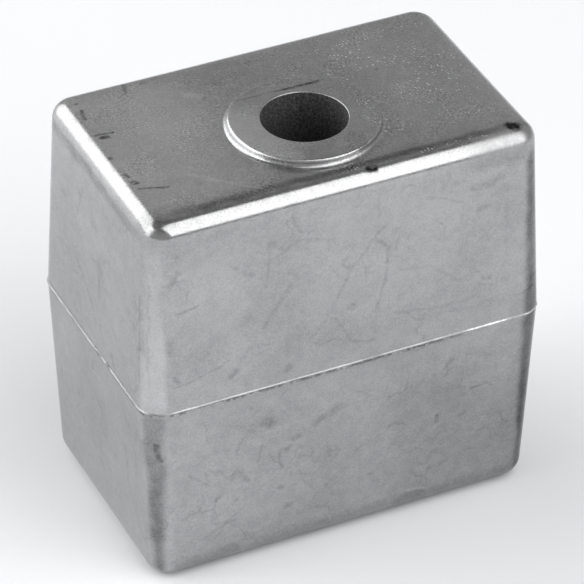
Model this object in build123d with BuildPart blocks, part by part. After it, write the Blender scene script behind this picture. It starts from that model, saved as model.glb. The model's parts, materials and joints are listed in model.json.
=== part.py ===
from build123d import *
from math import radians, tan
import os

os.makedirs("parts", exist_ok=True)

# Driving dimensions, in millimetres, with drafts in degrees

# Plan of the block at the parting plane, where the two halves of the mould met
parting_length = 67.0
parting_width = 41.5

# Depth of each half of the mould, and the drafts that let the casting leave it
lower_depth = 33.3
upper_depth = 33.1
end_draft = 2.3
side_draft = 1.6

# Rounded rims of the two flat ends, and the sharper corner left on the flat inside the lower one
lower_rim_radius = 3.3
upper_rim_radius = 2.7
flat_corner_radius = 0.5

# Thin flash that squeezed out along the parting plane
flash_reach = 0.25
flash_thickness = 0.4

# Through hole for the mounting bolt, a little off the middle of the length
hole_diameter = 13.3
hole_mouth_radius = 0.25
hole_x = 0.4

# Raised seat for the bolt's washer: its flat, its edge from the rim down to the concave foot,
# and the strip of flat top left between that foot and the rim of the front side
seat_flat_diameter = 22.6
seat_rim_radius = 0.4
seat_wall_height = 0.1
seat_foot_radius = 0.65
seat_front_margin = 1.6

# Low shelf across the back of the seat, parallel to the long sides
shelf_depth_from_edge = 3.1
shelf_height = 0.3

# Sizes and places worked out from the driving dimensions
corner_radius = lower_rim_radius + flat_corner_radius
top_level = lower_depth + upper_depth
seat_height = seat_rim_radius + seat_wall_height + seat_foot_radius
seat_level = top_level + seat_height
seat_radius = seat_flat_diameter / 2 + seat_rim_radius
top_half_width = parting_width / 2 - upper_depth * tan(radians(side_draft))
hole_y = upper_rim_radius + seat_front_margin + seat_foot_radius + seat_radius - top_half_width
shelf_front_y = hole_y + seat_flat_diameter / 2 - shelf_depth_from_edge

# Parting plane as each half sees it, its normal pointing into that half
lower_mould = Plane(origin=(0, 0, lower_depth), x_dir=(1, 0, 0), z_dir=(0, 0, -1))
upper_mould = Plane(origin=(0, 0, lower_depth), x_dir=(1, 0, 0), z_dir=(0, 0, 1))


def drafted_half(mould: Plane, depth: float, rim_radius: float) -> Part:
    """One half of the casting, narrowing away from the parting plane, with rounded corners and rim."""
    with BuildPart() as half:
        with BuildSketch(mould):
            Rectangle(parting_length, parting_width)
        extrude(amount=depth)
        draft(half.faces().filter_by(Axis.X), neutral_plane=mould, angle=end_draft)
        draft(half.faces().filter_by(Axis.Y), neutral_plane=mould, angle=side_draft)
        upright_edges = half.edges().group_by(Axis.Z)[1]
        fillet(upright_edges, radius=corner_radius)
        flat_end = half.faces().sort_by(Axis(mould.origin, mould.z_dir))[-1]
        fillet(flat_end.edges(), radius=rim_radius)
    return half.part


def circles(part: BuildPart, radius: float) -> ShapeList[Edge]:
    """Every round edge of a part with this radius, from the lowest to the highest."""
    rounds = part.edges().filter_by(GeomType.CIRCLE)
    return rounds.filter_by(lambda edge: abs(edge.radius - radius) < 1e-4).sort_by(Axis.Z)


# The whole casting is one piece of metal
with BuildPart() as anode_block:
    add(drafted_half(lower_mould, lower_depth, lower_rim_radius))
    add(drafted_half(upper_mould, upper_depth, upper_rim_radius))

    # Flash, a thin ledge that follows the plan of the block round the parting plane
    with BuildSketch(upper_mould):
        RectangleRounded(
            parting_length + 2 * flash_reach,
            parting_width + 2 * flash_reach,
            corner_radius + flash_reach,
        )
    extrude(amount=flash_thickness / 2, both=True)

    # Round seat, with an eased rim and a concave foot that blends into the top
    with BuildSketch(Plane.XY.offset(top_level)):
        with Locations((hole_x, hole_y)):
            Circle(seat_radius)
    extrude(amount=seat_height)
    fillet(circles(anode_block, seat_radius)[0], radius=seat_foot_radius)
    fillet(circles(anode_block, seat_radius)[-1], radius=seat_rim_radius)

    # Shelf, the seat's back cut down along a straight line
    with BuildSketch(Plane.XY.offset(top_level + shelf_height)):
        with Locations((hole_x, shelf_front_y)):
            Rectangle(2 * seat_radius, seat_radius, align=(Align.CENTER, Align.MIN))
    extrude(amount=seat_height - shelf_height, mode=Mode.SUBTRACT)

    # Bolt hole, straight through from the seat to the underside, with both mouths eased
    with Locations((hole_x, hole_y, seat_level)):
        Hole(hole_diameter / 2)
    fillet(circles(anode_block, hole_diameter / 2), radius=hole_mouth_radius)

anode_block.part.label = "anode_block"
export_step(anode_block.part, "parts/anode_block.step")

print(f"{anode_block.part.label}: {anode_block.part.volume / 1000:.2f} cubic centimetres")
print(f"bolt hole at {hole_x:.3f}, {hole_y:.3f} mm, seat at {seat_level:.2f} mm")
print(f"bolt hole wall {seat_level - 2 * hole_mouth_radius:.2f} mm long")
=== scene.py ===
import json
import logging
import math
from dataclasses import dataclass
from enum import Enum
from typing import Any

import bpy
import numpy as np
from mathutils import Matrix, Vector


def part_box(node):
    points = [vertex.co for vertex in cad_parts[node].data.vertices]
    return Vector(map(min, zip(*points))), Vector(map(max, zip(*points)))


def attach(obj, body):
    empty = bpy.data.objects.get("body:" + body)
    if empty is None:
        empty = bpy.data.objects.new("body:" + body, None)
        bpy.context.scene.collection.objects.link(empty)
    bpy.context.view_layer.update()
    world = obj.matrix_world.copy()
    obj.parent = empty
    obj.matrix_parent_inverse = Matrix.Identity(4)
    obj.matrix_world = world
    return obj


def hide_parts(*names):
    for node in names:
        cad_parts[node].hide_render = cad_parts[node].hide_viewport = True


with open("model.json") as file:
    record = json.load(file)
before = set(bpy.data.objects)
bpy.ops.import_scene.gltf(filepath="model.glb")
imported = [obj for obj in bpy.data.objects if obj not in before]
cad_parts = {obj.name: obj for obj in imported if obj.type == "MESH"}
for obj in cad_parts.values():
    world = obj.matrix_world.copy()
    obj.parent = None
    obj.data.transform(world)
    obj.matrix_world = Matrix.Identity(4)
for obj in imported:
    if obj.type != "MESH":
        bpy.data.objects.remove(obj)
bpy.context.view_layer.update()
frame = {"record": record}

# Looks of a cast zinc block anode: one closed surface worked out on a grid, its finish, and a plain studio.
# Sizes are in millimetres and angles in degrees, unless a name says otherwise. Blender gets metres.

log = logging.getLogger("anode")

METRES = 0.001
TINY = 1e-9
BLOCK_NODE = "anode_block"


def smooth_step(value: np.ndarray, low: float, high: float) -> np.ndarray:
    """Rises from 0 at low to 1 at high as 3t squared less 2t cubed, t being the share of the way."""
    share = np.clip((value - low) / (high - low), 0.0, 1.0)
    return share * share * (3.0 - 2.0 * share)


@dataclass(frozen=True)
class LatticeNoise:
    """Smooth seeded noise in space, from random values at the corners of a cubic lattice."""

    seed: int
    cell: float
    repeat: int = 48

    def at(self, points: np.ndarray) -> np.ndarray:
        """Blends the eight lattice values round each point with smooth-step weights along each axis.

        Args:
            points: positions in millimetres, with x, y and z on the last axis.

        Returns:
            One value from -1 to 1 for each point.
        """
        values = np.random.default_rng(self.seed).uniform(-1.0, 1.0, (self.repeat,) * 3)
        scaled = points / self.cell
        corner = np.floor(scaled).astype(int)
        share = scaled - corner
        weight = share * share * (3.0 - 2.0 * share)
        total = np.zeros(points.shape[:-1])
        for step in np.ndindex(2, 2, 2):
            part = np.prod(np.where(np.array(step) == 1, weight, 1.0 - weight), axis=-1)
            x, y, z = np.moveaxis((corner + np.array(step)) % self.repeat, -1, 0)
            total += part * values[x, y, z]
        return total


@dataclass(frozen=True)
class BlockSizes:
    """Sizes of the casting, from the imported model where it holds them."""

    length: float
    width: float
    seat_level: float
    hole_x: float
    hole_y: float
    hole_radius: float
    flash_reach: float = 0.25
    parting_level: float = 33.3
    end_draft: float = 2.3
    side_draft: float = 1.6
    corner_radius: float = 3.8
    lower_rim_radius: float = 3.3
    upper_rim_radius: float = 2.7
    mouth_radius: float = 0.25
    seat_flat_radius: float = 11.3
    seat_rim_radius: float = 0.4
    seat_wall_height: float = 0.1
    seat_foot_radius: float = 0.65
    shelf_from_hole: float = 8.2
    shelf_height: float = 0.3

    @classmethod
    def from_frame(cls, record: dict[str, Any]) -> "BlockSizes":
        """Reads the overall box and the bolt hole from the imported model.

        Args:
            record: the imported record, whose mounts name the bolt hole.

        Returns:
            The sizes of the casting.
        """
        low, high = (np.array(corner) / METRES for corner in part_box(BLOCK_NODE))
        hole = next(mount for mount in record["mounts"] if mount["name"] == "bolt_hole")
        reach = cls.flash_reach
        return cls(
            length=high[0] - low[0] - 2.0 * reach,
            width=high[1] - low[1] - 2.0 * reach,
            seat_level=high[2],
            hole_x=hole["pos_m"][0] / METRES,
            hole_y=hole["pos_m"][1] / METRES,
            hole_radius=hole["dims"]["r_mm"],
        )

    @property
    def seat_height(self) -> float:
        """Height of the seat over the flat top."""
        return self.seat_rim_radius + self.seat_wall_height + self.seat_foot_radius

    @property
    def top_level(self) -> float:
        """Level of the flat top round the seat."""
        return self.seat_level - self.seat_height


@dataclass(frozen=True)
class RoundedPlan:
    """A rectangle with round corners, walked once anticlockwise as seen from above."""

    long_points: int = 160
    short_points: int = 92
    corner_points: int = 20

    @property
    def points(self) -> int:
        """Points in one walk round the plan."""
        return 2 * (self.long_points + self.short_points) + 4 * self.corner_points

    def walk(self, half_length: np.ndarray, half_width: np.ndarray, corner: np.ndarray) -> np.ndarray:
        """Walks round one plan for each row.

        Straight stretches are divided evenly, and a corner point is its corner's centre plus the corner
        radius times the cosine and sine of an angle that turns evenly through a quarter circle.

        Args:
            half_length: half the size along x, one value a row.
            half_width: half the size along y, one value a row.
            corner: corner radius, one value a row.

        Returns:
            Rows by points by x and y.
        """
        r = corner[:, None]
        cx = half_length[:, None] - r
        cy = half_width[:, None] - r
        along = np.linspace(-1.0, 1.0, self.long_points, endpoint=False)[None, :]
        across = np.linspace(-1.0, 1.0, self.short_points, endpoint=False)[None, :]
        turn = np.linspace(0.0, math.pi / 2, self.corner_points, endpoint=False)[None, :]
        x = np.concatenate([
            cx * along, cx + r * np.sin(turn), cx + r + 0 * across, cx + r * np.cos(turn),
            -cx * along, -cx - r * np.sin(turn), -cx - r + 0 * across, -cx - r * np.cos(turn),
        ], axis=1)
        y = np.concatenate([
            -cy - r + 0 * along, -cy - r * np.cos(turn), cy * across, cy + r * np.sin(turn),
            cy + r + 0 * along, cy + r * np.cos(turn), -cy * across, -cy - r * np.sin(turn),
        ], axis=1)
        return np.stack([x, y], axis=-1)


@dataclass(frozen=True)
class Dent:
    """A shallow round hollow or, with a negative depth, a bump."""

    centre: tuple[float, float, float]
    radius: float
    depth: float


DENTS = {
    "nick_behind_the_front_rim": Dent((4.3, -18.1, 66.2), 0.7, 0.1),
    "blister_under_the_front_rim": Dent((-9.6, -19.75, 65.3), 0.35, -0.09),
    "pit_by_the_right_rim": Dent((28.3, -17.2, 66.4), 0.8, 0.1),
}


@dataclass(frozen=True)
class Relief:
    """Cast unevenness: wide, middling and fine lumps, each a size in millimetres and a height."""

    wide: tuple[float, float] = (13.0, 0.045)
    middling: tuple[float, float] = (5.0, 0.014)
    fine: tuple[float, float] = (1.9, 0.004)
    sink: float = 0.05
    first_seed: int = 21
    rim_lump: tuple[float, float] = (1.1, 0.035)
    rim_from: float = -17.9
    rim_to: float = -16.4
    rim_ramp: float = 0.4

    def at(self, points: np.ndarray) -> np.ndarray:
        """Height over the true form, in millimetres.

        The three noises are added and the whole is sunk a little. Small lumps are added along the strip of
        the top behind the front rim. A dent's depth falls off as a bell curve of the distance from its
        centre.

        Args:
            points: positions in millimetres, with x, y and z on the last axis.

        Returns:
            One height for each point.
        """
        height = np.full(points.shape[:-1], -self.sink)
        for number, (size, tall) in enumerate((self.wide, self.middling, self.fine)):
            height += tall * LatticeNoise(self.first_seed + number, size).at(points)
        y = points[..., 1]
        strip = smooth_step(y, self.rim_from, self.rim_from + self.rim_ramp)
        strip *= smooth_step(-y, -self.rim_to - self.rim_ramp, -self.rim_to)
        size, tall = self.rim_lump
        height += tall * strip * LatticeNoise(self.first_seed + 3, size).at(points)
        for dent in DENTS.values():
            away = np.linalg.norm(points - np.array(dent.centre), axis=-1)
            height -= dent.depth * np.exp(-((away / dent.radius) ** 2))
        return height


@dataclass(frozen=True)
class Flash:
    """The thin ragged bead along the parting line, in millimetres."""

    half_thickness: float = 0.11
    thickness_change: float = 0.03
    least_reach: float = 0.25
    raggedness: float = 0.45
    beaded_from: float = 10.0
    beaded_over: float = 12.0
    beaded_raggedness: float = 0.8
    drift: float = 0.04
    first_seed: int = 11
    wander_cell: float = 2.3
    quiver_cell: float = 0.8
    thickness_cell: float = 1.7
    drift_cell: float = 4.0
    offsets: tuple[float, ...] = (
        0.8, 0.5, 0.34, 0.24, 0.16, 0.08, 0.0, -0.08, -0.16, -0.24, -0.34, -0.5, -0.8,
    )

    def push(self, line: np.ndarray, full_reach: float) -> np.ndarray:
        """How far each row of the bead stands out.

        The push is the bead's reach times a bell curve of the height over the line. The reach is the full
        one less the raggedness times half plus one and a half times a noise of two sizes, held at the least
        reach. Thickness and height wander with noises of their own.

        Args:
            line: points of the parting line.
            full_reach: the most that the bead stands out.

        Returns:
            Rows by points, in millimetres.
        """
        cells = (self.wander_cell, self.quiver_cell, self.thickness_cell, self.drift_cell)
        wander, quiver, thicken, drift = (
            LatticeNoise(self.first_seed + number, cell).at(line) for number, cell in enumerate(cells)
        )
        beaded = smooth_step(line[:, 0], self.beaded_from, self.beaded_from + self.beaded_over)
        ragged = self.raggedness + beaded * (self.beaded_raggedness - self.raggedness)
        loss = ragged * (0.5 + 1.5 * (0.5 * wander + 0.5 * quiver))
        reach = full_reach * np.clip(1.0 - loss, self.least_reach, 1.0)
        thickness = self.half_thickness + self.thickness_change * thicken
        offsets = np.array(self.offsets)[:, None]
        return reach * np.exp(-(((offsets - self.drift * drift) / thickness) ** 2))


@dataclass(frozen=True)
class ShiftBox:
    """A soft-edged box in space inside which the metal is lighter or darker by a share."""

    low: tuple[float, float, float]
    high: tuple[float, float, float]
    soft: tuple[float, float, float]
    shift: float

    def at(self, points: np.ndarray) -> np.ndarray:
        """The shift times, for each axis, a smooth rise over the low edge and fall over the high one.

        Args:
            points: positions in millimetres, with x, y and z on the last axis.

        Returns:
            One shift for each point.
        """
        share = np.full(points.shape[:-1], self.shift)
        for axis in range(3):
            value, half = points[..., axis], self.soft[axis] / 2
            share = share * smooth_step(value, self.low[axis] - half, self.low[axis] + half)
            share = share * (1.0 - smooth_step(value, self.high[axis] - half, self.high[axis] + half))
        return share


# Where the metal is paler or darker than the rest, and by what share. Most boxes here are painted light and
# shade, as the comment on each says; the rest are patches of the metal. FAR lies outside the block.
FAR = 90.0
STAINS_AND_PAINTED_LIGHT = {
    # Painted highlight on the near left corner over the parting line, lightest in its middle.
    "pale_corner_over_the_line": ShiftBox((-FAR, -FAR, 33.7), (-30.3, -17.9, 62.5), (0.8, 1.2, 2.0), 0.12),
    "paler_middle_of_that_corner": ShiftBox((-FAR, -FAR, 34.5), (-30.4, -18.4, 50.0), (0.8, 1.2, 4.0), 0.12),
    # Painted shade on the near left corner under the parting line, deepest towards its foot.
    "dark_corner_under_the_line": ShiftBox((-FAR, -FAR, -1.0), (-30.6, -18.2, 32.9), (1.5, 1.6, 0.8), -0.3),
    "dark_corner_foot": ShiftBox((-FAR, -FAR, -1.0), (-30.5, -18.0, 21.0), (1.6, 1.6, 12.0), -0.22),
    # Painted shade: a dark band down the right corner.
    "dark_right_corner": ShiftBox((29.8, -FAR, -1.0), (FAR, -13.0, 62.5), (1.6, 2.0, 3.0), -0.57),
    # Painted light high on the front face.
    "pale_high_on_the_front": ShiftBox((-30.0, -FAR, 50.0), (29.0, -17.0, 63.5), (4.0, 2.0, 22.0), 0.05),
    # Painted shade on the lower front, deepest to the right and along its foot by the floor.
    "dull_lower_front": ShiftBox((-30.0, -FAR, -10.0), (FAR, -15.0, 30.0), (8.0, 2.0, 8.0), -0.04),
    "dull_lower_right": ShiftBox((8.0, -FAR, -10.0), (FAR, -15.0, 22.0), (22.0, 2.0, 14.0), -0.16),
    "dark_foot": ShiftBox((-29.0, -FAR, -1.0), (FAR, -15.0, 3.6), (3.0, 2.0, 1.6), -0.17),
    # Painted shade: the left side is darkened a little.
    "dull_left_side": ShiftBox((-FAR, -17.0, 12.0), (-31.0, FAR, 62.0), (2.0, 2.0, 14.0), -0.085),
    # Painted reflections on the top behind the front rim: a dark strip, a dark patch before the seat, and a
    # pale strip along the rim.
    "dark_strip_behind_the_front_rim":
        ShiftBox((-26.0, -17.3, 64.0), (28.5, -15.9, FAR), (10.0, 0.9, 1.0), -0.45),
    "dark_smudge_before_the_seat": ShiftBox((-4.0, -17.2, 64.0), (14.0, -15.0, FAR), (10.0, 1.4, 1.0), -0.15),
    "pale_ridge_behind_the_front_rim": ShiftBox((-28.0, -18.1, 64.0), (30.0, -17.4, FAR), (6.0, 0.5, 1.0), 0.2),
    # Painted light on the left of the top, with a further patch towards the back.
    "pale_left_top": ShiftBox((-FAR, -15.0, 64.0), (-13.0, 17.0, FAR), (14.0, 4.0, 1.0), 0.42),
    "pale_patch_on_the_left_top": ShiftBox((-24.0, 4.0, 64.0), (-10.0, 13.0, FAR), (7.0, 6.0, 1.0), 0.1),
    "dull_right_of_the_front_rim": ShiftBox((20.0, -FAR, 62.5), (31.0, -17.4, 66.0), (6.0, 1.0, 1.5), -0.1),
    "dull_under_the_right_of_that_rim":
        ShiftBox((21.0, -FAR, 61.6), (29.5, -17.0, 63.6), (4.0, 1.0, 1.4), -0.12),
    # Painted shade dimming the highlight on the left rim.
    "dull_left_rim": ShiftBox((-FAR, -15.0, 62.5), (-29.8, FAR, 66.2), (1.0, 8.0, 1.5), -0.3),
    # Darker on the front of the seat.
    "dull_seat_front": ShiftBox((-5.0, -FAR, 67.4), (8.0, -10.0, FAR), (4.0, 2.0, 0.1), -0.12),
    # Painted light on the left of the seat.
    "pale_seat_left": ShiftBox((-13.0, -14.0, 67.0), (-5.0, 3.0, FAR), (6.0, 4.0, 0.3), 0.3),
    "pale_right_top": ShiftBox((14.0, -13.0, 64.0), (FAR, 17.0, FAR), (8.0, 6.0, 1.0), 0.12),
}

# Where the metal is rougher than the rest, and by how much.
HAZED = {
    "haze_on_the_right_of_the_front_rim":
        ShiftBox((21.0, -FAR, 62.0), (30.5, -17.3, FAR), (7.0, 1.0, 2.0), 0.17),
    "haze_on_the_seat_edge": ShiftBox((-12.5, -16.0, 66.45), (13.5, 9.0, 67.5), (0.5, 0.5, 0.1), 0.11),
    "haze_on_the_left_rim": ShiftBox((-FAR, -15.0, 62.5), (-29.6, FAR, FAR), (1.0, 8.0, 2.0), 0.06),
}

# Where bright specks gather, and how strongly.
SPECKLED = {
    "specks_on_the_right_top": ShiftBox((9.0, -13.0, 65.0), (28.5, 15.0, FAR), (10.0, 6.0, 0.4), 1.0),
    "specks_along_the_front_rim": ShiftBox((0.0, -17.6, 65.0), (27.0, -16.6, FAR), (8.0, 0.6, 0.4), 0.8),
    "specks_on_the_left_top": ShiftBox((-27.0, -6.0, 65.0), (-12.0, 15.0, FAR), (8.0, 8.0, 0.4), 0.35),
}


@dataclass(frozen=True)
class SurfaceMaps:
    """Soft patterns that follow the casting, as one value a point for its finish to read.

    A pair gives the two places between which a pattern rises or falls, in millimetres.
    """

    sizes: BlockSizes
    warp_cell: float = 2.4
    warp_reach: float = 0.45
    first_seed: int = 41
    side_depth: float = 3.0
    side_rise: tuple[float, float] = (-0.2, 0.6)
    bead_width: float = 0.2
    beads_rise: tuple[float, float] = (12.0, 20.0)
    beads_fall: tuple[float, float] = (-14.0, -10.0)
    under_flash_shadow_drop: float = 0.42
    under_flash_shadow_width: float = 0.3
    under_flash_shadow_fall: tuple[float, float] = (14.0, 26.0)
    bore_slack: float = 0.02
    mouth_blend: float = 0.2
    top_rise: tuple[float, float] = (-0.5, -0.1)
    rim_rise: tuple[float, float] = (-0.5, 0.3)

    def warped(self, points: np.ndarray) -> np.ndarray:
        """The points moved a little by smooth noise, so that no soft patch, painted light and shade included,
        has a ruled edge.
        """
        shifts = [LatticeNoise(self.first_seed + axis, self.warp_cell).at(points) for axis in range(3)]
        return points + self.warp_reach * np.stack(shifts, axis=-1)

    def layers(self, points: np.ndarray) -> dict[str, np.ndarray]:
        """Works out every map.

        A map rises and falls by smooth steps of a coordinate or of the distance from the hole's axis. The
        bead of flash and the band of painted shadow under it follow bell curves of the height over the
        parting line.

        Args:
            points: positions in millimetres, with x, y and z on the last axis.

        Returns:
            Each map by its name, with one value a point.
        """
        s = self.sizes
        x, y, z = np.moveaxis(points, -1, 0)
        from_axis = np.hypot(x - s.hole_x, y - s.hole_y)
        over_line = z - s.parting_level
        past_end = np.abs(x) - (s.length / 2 - self.side_depth)
        past_side = np.abs(y) - (s.width / 2 - self.side_depth)
        side = smooth_step(np.maximum(past_end, past_side), *self.side_rise)
        flash = side * np.exp(-((over_line / self.bead_width) ** 2))
        beads = smooth_step(x, *self.beads_rise) * (1.0 - smooth_step(y, *self.beads_fall))
        # Band of painted shadow under the bead of flash.
        under_flash_shadow_share = np.exp(-(((over_line + self.under_flash_shadow_drop) / self.under_flash_shadow_width) ** 2))
        mouth_edge = s.hole_radius + s.mouth_radius
        mouth = 1.0 - smooth_step(from_axis, mouth_edge, mouth_edge + self.mouth_blend)
        in_bore = (from_axis < s.hole_radius + self.bore_slack).astype(float)
        over_top = z - s.top_level
        warped = self.warped(points)
        return {
            # Stains and painted light and shade, summed into one map.
            "stain": sum(stain.at(warped) for stain in STAINS_AND_PAINTED_LIGHT.values()) * (1.0 - flash),
            "hazed": sum(haze.at(warped) for haze in HAZED.values()),
            "speckled": sum(patch.at(points) for patch in SPECKLED.values()),
            "bore": in_bore,
            "mouth": mouth * (1.0 - in_bore),
            "top": smooth_step(over_top, *self.top_rise),
            "rim": smooth_step(over_top + s.upper_rim_radius, *self.rim_rise),
            "flash": flash,
            # Where the painted highlight on the beads of flash goes.
            "beaded": flash * beads,
            # Painted shadow under the bead of flash, fading out to the right.
            "pitted": side * under_flash_shadow_share * (1.0 - smooth_step(x, *self.under_flash_shadow_fall)),
        }


@dataclass(frozen=True)
class RowCounts:
    """How many rows the casting's grid spends on each of its parts."""

    mouth: int = 5
    seat_before_step: int = 12
    seat_behind_step: int = 6
    seat_rim: int = 6
    seat_foot: int = 8
    top: int = 15
    upper_rim: int = 14
    upper_side: int = 32
    lower_side: int = 28
    lower_rim: int = 12
    underside: int = 4
    bore: int = 10


class CastBlock:
    """The whole casting as one closed grid that runs over the top, down the sides, under and up the bore."""

    step_half_ramp: float = 0.06
    step_edge_gap: float = 0.3
    seat_relief: float = 0.3

    def __init__(self, sizes: BlockSizes, plan: RoundedPlan, counts: RowCounts) -> None:
        """Keeps the sizes, the plan and the counts that every row of the grid is worked out from."""
        self.sizes = sizes
        self.plan = plan
        self.counts = counts
        self.spokes = self.spoke_angles()

    def spoke_angles(self) -> np.ndarray:
        """Direction from the hole's axis to each point of the flat top's edge, in radians.

        Returns:
            One angle for each point of the plan.
        """
        s = self.sizes
        inset = s.upper_rim_radius
        half_length, half_width = self.half_sizes(np.array([s.top_level]))
        edge = self.plan.walk(half_length - inset, half_width - inset, np.array([s.corner_radius - inset]))[0]
        return np.arctan2(edge[:, 1] - s.hole_y, edge[:, 0] - s.hole_x)

    def half_sizes(self, level: np.ndarray) -> tuple[np.ndarray, np.ndarray]:
        """Half length and half width of the block at a level, both shrinking away from the parting plane.

        Args:
            level: heights over the underside.

        Returns:
            Both halves, one value a level.
        """
        s = self.sizes
        away = np.abs(level - s.parting_level)
        half_length = s.length / 2 - away * math.tan(math.radians(s.end_draft))
        half_width = s.width / 2 - away * math.tan(math.radians(s.side_draft))
        return half_length, half_width

    def side_rows(self, levels: np.ndarray) -> np.ndarray:
        """Rows round the drafted sides, one at each level.

        Args:
            levels: height of each row.

        Returns:
            Rows by points by x, y and z.
        """
        half_length, half_width = self.half_sizes(levels)
        corner = np.full_like(levels, self.sizes.corner_radius)
        xy = self.plan.walk(half_length, half_width, corner)
        z = np.broadcast_to(levels[:, None, None], xy.shape[:2] + (1,))
        return np.concatenate([xy, z], axis=-1)

    def rim_rows(self, end_level: float, radius: float, count: int) -> np.ndarray:
        """Rows over a rim, from the side to the flat end.

        The section is an arc tangent to the drafted side and to the flat end. Its centre lies one radius
        inside both, and the arc turns from the draft angle to a right angle.

        Args:
            end_level: level of the flat end.
            radius: radius of the rim.
            count: number of rows.

        Returns:
            Rows by points by x, y and z.
        """
        s = self.sizes
        sense = 1.0 if end_level > s.parting_level else -1.0
        centre_level = end_level - sense * radius
        half_length, half_width = self.half_sizes(np.array([centre_level]))
        share = np.linspace(0.0, 1.0, count)
        insets = []
        for draft in (s.end_draft, s.side_draft):
            angle = np.radians(draft + share * (90.0 - draft))
            insets.append(radius / math.cos(math.radians(draft)) - radius * np.cos(angle))
        mean_draft = (s.end_draft + s.side_draft) / 2
        level = centre_level + sense * radius * np.sin(np.radians(mean_draft + share * (90.0 - mean_draft)))
        corner = s.corner_radius - insets[1]
        xy = self.plan.walk(half_length - insets[0], half_width - insets[1], corner)
        z = np.broadcast_to(level[:, None, None], xy.shape[:2] + (1,))
        return np.concatenate([xy, z], axis=-1)

    def ring_rows(self, radius: np.ndarray, level: np.ndarray) -> np.ndarray:
        """Round rows about the hole's axis: each point is the axis plus the radius along its spoke.

        Args:
            radius: one value a row, or one for each row and point.
            level: height of each row.

        Returns:
            Rows by points by x, y and z.
        """
        s = self.sizes
        reach = radius if radius.ndim == 2 else radius[:, None]
        reach = np.broadcast_to(reach, (len(level), self.plan.points))
        x = s.hole_x + reach * np.cos(self.spokes)
        y = s.hole_y + reach * np.sin(self.spokes)
        z = np.broadcast_to(level[:, None], x.shape)
        return np.stack([x, y, z], axis=-1)

    def flat_rows(self, outer: np.ndarray, inner: np.ndarray, count: int) -> np.ndarray:
        """Rows between two closed rows, each point moving evenly along the straight line that joins them."""
        share = np.linspace(0.0, 1.0, count + 2)[1:-1, None, None]
        return outer + share * (inner - outer)

    def seat_rows(self) -> np.ndarray:
        """Rows over the seat's flat, with one pair of rows on the straight step at its back.

        Along each spoke the step lies at the shelf's distance over the sine of the spoke's angle. Rows are
        spread evenly from the mouth to the step and from the step to the seat's edge. Spokes that miss the
        step take a place near the edge instead.

        Returns:
            Rows by points by x, y and z.
        """
        s = self.sizes
        mouth = s.hole_radius + s.mouth_radius
        sine = np.maximum(np.sin(self.spokes), TINY)
        step = np.minimum(s.shelf_from_hole / sine, s.seat_flat_radius - self.step_edge_gap)
        before = np.linspace(0.0, 1.0, self.counts.seat_before_step)[:, None]
        behind = np.linspace(0.0, 1.0, self.counts.seat_behind_step)[:, None]
        radius = np.concatenate([
            mouth + before * (step - self.step_half_ramp - mouth),
            step + self.step_half_ramp + behind * (s.seat_flat_radius - step - self.step_half_ramp),
        ])
        return self.ring_rows(radius, np.full(len(radius), s.seat_level))

    def seat_edge_rows(self) -> np.ndarray:
        """Rows down the seat's edge: a quarter circle, a short wall and a concave quarter circle.

        Returns:
            Rows by points by x, y and z.
        """
        s = self.sizes
        wall_radius = s.seat_flat_radius + s.seat_rim_radius
        rim = np.radians(np.linspace(0.0, 90.0, self.counts.seat_rim))[1:]
        foot = np.radians(np.linspace(0.0, 90.0, self.counts.seat_foot))
        radius = np.concatenate([
            s.seat_flat_radius + s.seat_rim_radius * np.sin(rim),
            wall_radius + s.seat_foot_radius * (1.0 - np.cos(foot)),
        ])
        level = np.concatenate([
            s.seat_level - s.seat_rim_radius * (1.0 - np.cos(rim)),
            s.top_level + s.seat_foot_radius * (1.0 - np.sin(foot)),
        ])
        return self.ring_rows(radius, level)

    def cut_shelf(self, rows: np.ndarray) -> np.ndarray:
        """Lowers every seat point behind the step to the shelf.

        Args:
            rows: the seat and its edge, before the step is cut.

        Returns:
            The same rows with the step cut.
        """
        s = self.sizes
        behind = rows[..., 1] > s.hole_y + s.shelf_from_hole
        shelf = s.top_level + s.shelf_height
        cut = rows.copy()
        cut[..., 2] = np.where(behind, np.minimum(rows[..., 2], shelf), rows[..., 2])
        return cut

    def flash_rows(self) -> np.ndarray:
        """Rows across the parting line, pushed outwards by a ragged bead of flash.

        Returns:
            Rows by points by x, y and z.
        """
        s = self.sizes
        flash = Flash()
        rows = self.side_rows(s.parting_level + np.array(flash.offsets))
        at_line = np.array([[s.length / 2], [s.width / 2], [s.corner_radius]])
        outward = (self.plan.walk(*(at_line + 1.0)) - self.plan.walk(*at_line))[0]
        line = rows[len(flash.offsets) // 2]
        rows[..., :2] += flash.push(line, s.flash_reach)[..., None] * outward
        return rows

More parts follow.
